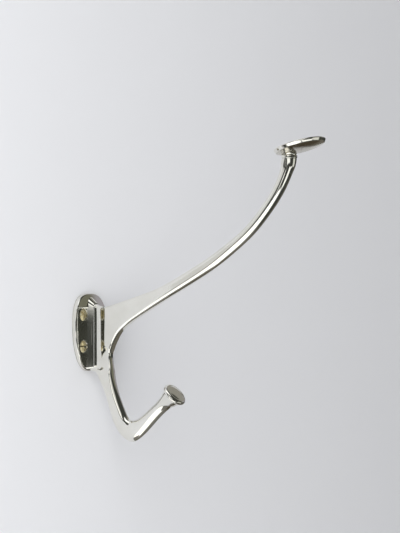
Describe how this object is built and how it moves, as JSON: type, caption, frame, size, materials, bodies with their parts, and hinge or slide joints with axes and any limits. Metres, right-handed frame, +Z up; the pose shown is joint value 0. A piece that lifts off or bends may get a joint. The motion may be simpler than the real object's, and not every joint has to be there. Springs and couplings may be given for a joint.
{
  "type": "hat and coat hook",
  "caption": "Cast hat and coat hook for a wall: a long upper arm with a round hat disc and a short lower arm with a knob, on a small oval plate held by slotted screws.",
  "frame": {"origin": "middle of the four wall screws, on the wall", "axes": "+Z up; +Y into the wall, so the hook reaches out along -Y; +X to the right seen from the front"},
  "size_m": [0.034, 0.2044, 0.195],
  "materials": {
    "nickel": "polished nickel plate over cast brass, lightly worn",
    "brass": "plain brass, slightly tarnished",
    "steel": "plain, hidden inside the part"
  },
  "bodies": {
    "root": {"wall_plate": "nickel", "hook_casting": "nickel", "hat_disc": "nickel", "neck_collar": "nickel", "hat_disc_stud": "steel", "coat_knob": "nickel", "coat_knob_stud": "steel", "foot_screw_upper": "steel", "foot_screw_lower": "steel", "wall_screw_upper_left": "brass", "wall_screw_upper_right": "brass", "wall_screw_lower_left": "brass", "wall_screw_lower_right": "brass"}
  },
  "joints": []
}
